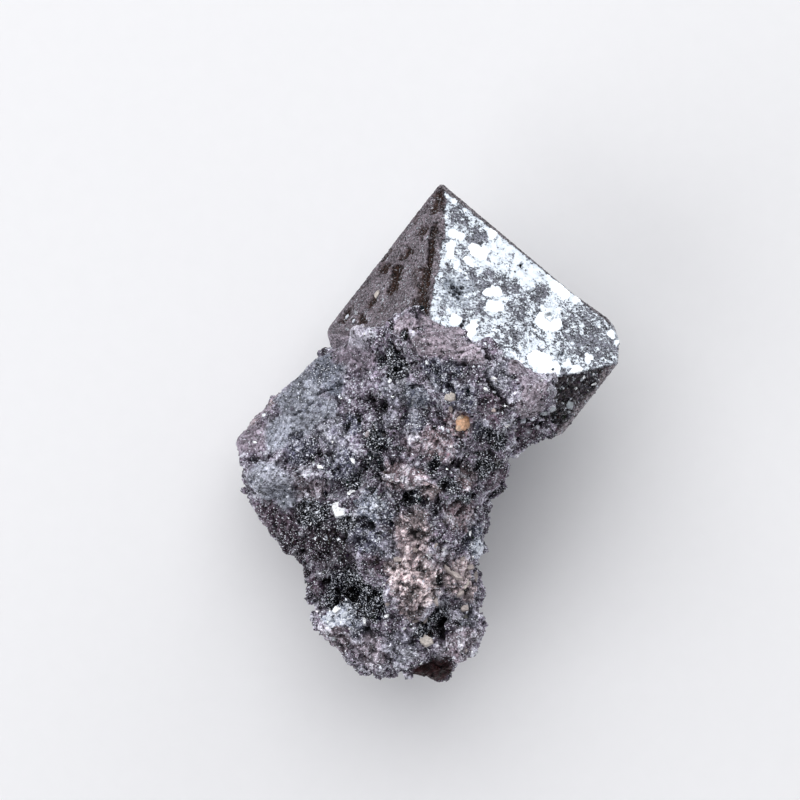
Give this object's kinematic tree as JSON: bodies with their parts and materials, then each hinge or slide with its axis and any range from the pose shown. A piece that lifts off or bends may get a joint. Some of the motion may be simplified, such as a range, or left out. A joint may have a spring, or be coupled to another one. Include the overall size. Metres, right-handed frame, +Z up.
{
  "type": "hematite pseudomorph specimen",
  "caption": "Hand-size mineral specimen: a large bright octahedral hematite crystal, a pseudomorph after magnetite, set in a granular dark grey matrix with tan iron-oxide patches.",
  "frame": {"origin": "on the resting plane, under the middle of the bounding box", "axes": "+Z up from the resting plane, +Y towards the free tip of the large crystal, +X towards its right-hand corner"},
  "size_m": [0.031, 0.0402, 0.0246],
  "materials": {
    "bright_hematite": "metallic grey with mirror-bright patches",
    "granular_hematite": "dark grey, granular and sparkling, with dull violet and tan patches"
  },
  "bodies": {
    "root": {"octahedral_crystal": "bright_hematite", "matrix": "granular_hematite"}
  },
  "joints": []
}
